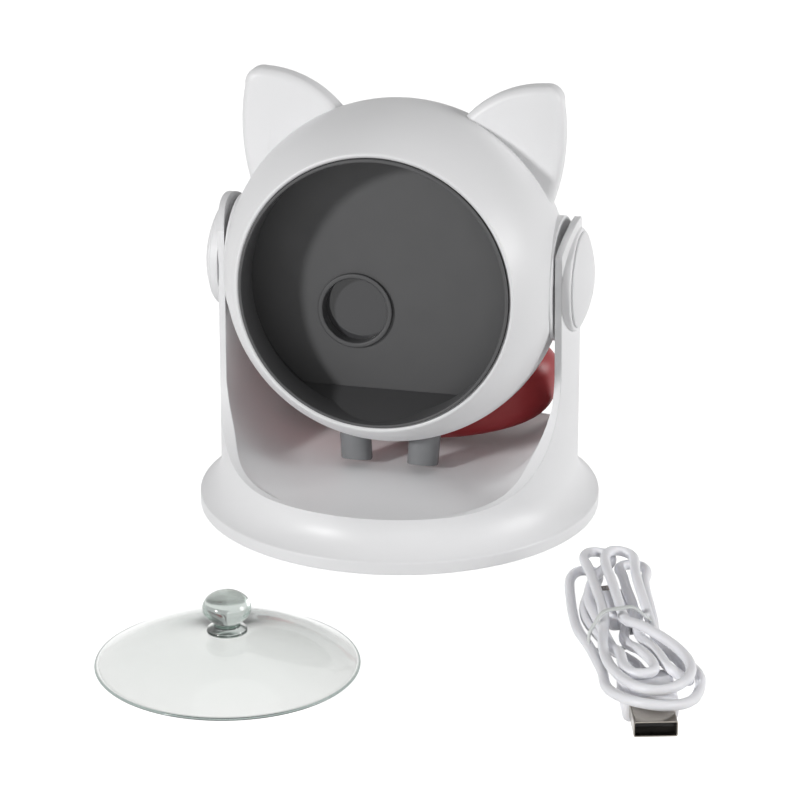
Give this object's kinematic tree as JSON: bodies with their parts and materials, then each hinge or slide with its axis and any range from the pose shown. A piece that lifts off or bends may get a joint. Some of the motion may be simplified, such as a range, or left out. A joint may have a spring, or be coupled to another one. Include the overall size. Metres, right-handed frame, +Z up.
{
  "type": "automatic cat laser toy",
  "caption": "Round cat-eared laser toy head that tilts in a white yoke base, with a turning laser port, a clear suction cup and a folded charging cable.",
  "frame": {"origin": "centre of the underside, on the floor and on the axis of the suction socket", "axes": "+Z up, the head looks towards -Y, +X to the right of someone who looks along +Y"},
  "size_m": [0.1789, 0.231, 0.1365],
  "materials": {
    "white_plastic": "satin moulded ABS, white",
    "cable_plastic": "soft moulded vinyl, cool white",
    "tie_plastic": "thin translucent white tie",
    "steel": "zinc plated",
    "plated_steel": "nickel plated sheet",
    "brass": "turned",
    "rubber": "soft, matt",
    "red_plastic": "satin moulded, dark red",
    "dark_plastic": "satin moulded, dark grey",
    "window": "smoked, smooth",
    "inner_plastic": "moulded, unseen",
    "cell_wrap": "shrink sleeve, blue",
    "board": "green solder mask",
    "light": "clear, diffusing",
    "clear_vinyl": "clear soft vinyl, glossy"
  },
  "bodies": {
    "base": {"yoke_base": "white_plastic", "yoke_arm_right": "white_plastic", "yoke_arm_left": "white_plastic", "base_plate": "white_plastic", "base_screws": "steel", "foot_pads": "rubber", "pivot_cap_left": "white_plastic", "pivot_cap_right": "white_plastic", "cable_hank": "cable_plastic", "cable_tie": "tie_plastic", "usb_a_overmould": "cable_plastic", "usb_a_shell": "plated_steel", "usb_a_tongue": "dark_plastic", "usb_c_overmould": "cable_plastic", "usb_c_shell": "plated_steel"},
    "head": {"front_shell": "white_plastic", "rear_shell": "white_plastic", "left_ear": "white_plastic", "right_ear": "white_plastic", "collar": "red_plastic", "stub_feet": "white_plastic", "cavity_liner": "dark_plastic", "chassis_plate": "inner_plastic", "chassis_screws": "steel", "shell_screws": "steel", "pivot_screws": "steel", "pivot_inserts": "brass", "friction_washers": "rubber", "gearbox": "inner_plastic", "motor_can": "plated_steel", "motor_clamp": "inner_plastic", "battery_cell": "cell_wrap", "battery_cradle": "inner_plastic", "main_board": "board", "board_screws": "steel", "charge_socket": "plated_steel", "tact_switch": "inner_plastic", "status_led": "light", "light_pipe": "light", "spindle_bush": "brass"},
    "turret": {"turret_disc": "dark_plastic", "port_ring": "dark_plastic", "laser_window": "window", "laser_holder": "inner_plastic", "laser_module": "brass", "drive_gear": "inner_plastic", "spindle_pin": "steel", "spindle_clip": "steel"},
    "pinion": {"motor_pinion": "inner_plastic", "motor_shaft": "steel"},
    "button": {"mode_button": "white_plastic"},
    "cup": {"suction_cup": "clear_vinyl"}
  },
  "joints": [
    {"name": "head_tilt", "type": "hinge", "parent": "base", "child": "head", "pos_m": [0, 0, 0.0764], "axis": [1, 0, 0], "range_deg": [-12, 30]},
    {"name": "turret_spin", "type": "hinge", "parent": "head", "child": "turret", "pos_m": [0, 0, 0.0764], "axis": [0, -0.9976, 0.0698], "range_deg": [-150, 150]},
    {"name": "motor_pinion_spin", "type": "hinge", "parent": "head", "child": "pinion", "pos_m": [0, 0.00201, 0.10513], "axis": [0, -0.9976, 0.0698], "range_deg": [-760, 760]},
    {"name": "mode_button_press", "type": "slide", "parent": "head", "child": "button", "axis": [0, -0.9976, 0.0698], "range_m": [0, 0.0006], "stiffness_N_per_m": 800},
    {"name": "suction_cup_lift", "type": "slide", "parent": "base", "child": "cup", "axis": [0, 0, 1], "range_m": [0, 0.06]}
  ],
  "couplings": [
    {"joint": "motor_pinion_spin", "follows": "turret_spin", "ratio": -5}
  ]
}
